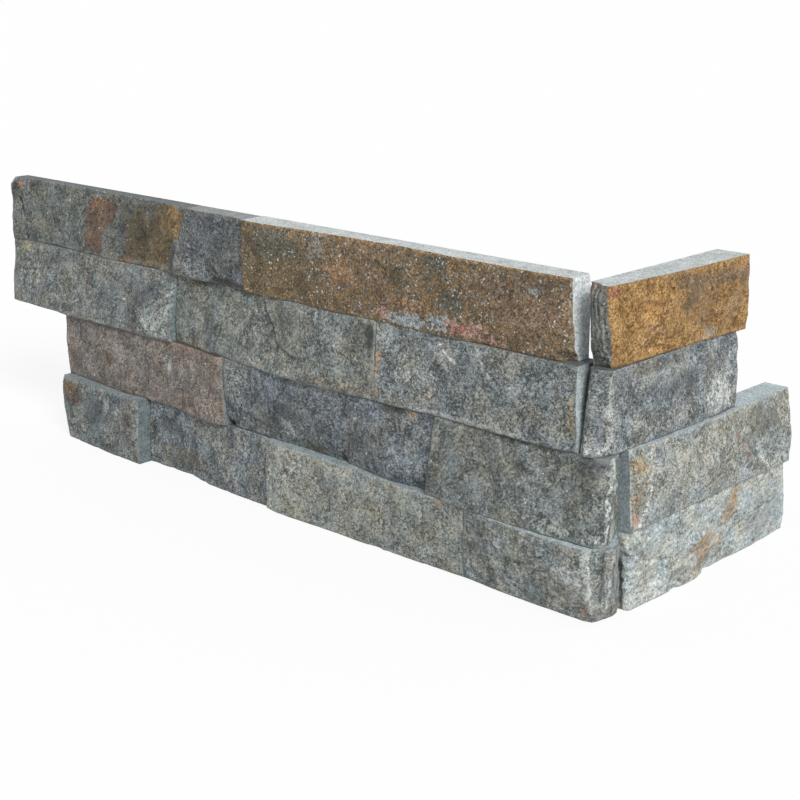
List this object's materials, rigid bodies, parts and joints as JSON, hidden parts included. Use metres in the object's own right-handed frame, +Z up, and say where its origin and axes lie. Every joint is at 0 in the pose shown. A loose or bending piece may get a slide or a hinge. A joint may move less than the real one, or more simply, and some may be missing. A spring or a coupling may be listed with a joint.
{
  "type": "stone cladding corner piece",
  "caption": "L-shaped outside corner piece of stacked split-face stone strips, which clads a wall corner and interlocks with flat panels.",
  "frame": {"origin": "the wall corner line, where the sawn backs of the two arms meet, at the underside", "axes": "+Z up the wall corner; the long arm runs along -X with its face towards -Y; the return arm runs along +Y with its face towards +X"},
  "size_m": [0.4625, 0.1726, 0.1524],
  "materials": {
    "grey_green_stone": "split quartzite with fine grey-green grain and faint ochre stains, sawn on the beds",
    "rust_brown_stone": "split quartzite stained golden brown and rust, with bright mineral specks",
    "slate_grey_stone": "split dark blue-grey quartzite, slate-like",
    "mid_grey_stone": "split mid-grey quartzite with salt-and-pepper speckle",
    "light_grey_stone": "split light grey quartzite with thin rust veins"
  },
  "bodies": {
    "root": {"row_4_stone_a": "grey_green_stone", "row_3_stone_a": "grey_green_stone", "row_3_stone_b": "grey_green_stone", "row_4_stone_c": "rust_brown_stone", "row_4_return_stone": "rust_brown_stone", "row_2_stone_a": "rust_brown_stone", "row_4_stone_b": "slate_grey_stone", "row_2_stone_b": "slate_grey_stone", "row_1_stone_b": "slate_grey_stone", "row_3_stone_c": "mid_grey_stone", "row_3_return_stone": "mid_grey_stone", "row_2_stone_c": "mid_grey_stone", "row_1_stone_d": "mid_grey_stone", "row_1_stone_a": "mid_grey_stone", "row_2_return_stone": "light_grey_stone", "row_1_return_stone": "light_grey_stone", "row_1_stone_c": "light_grey_stone"}
  },
  "joints": []
}
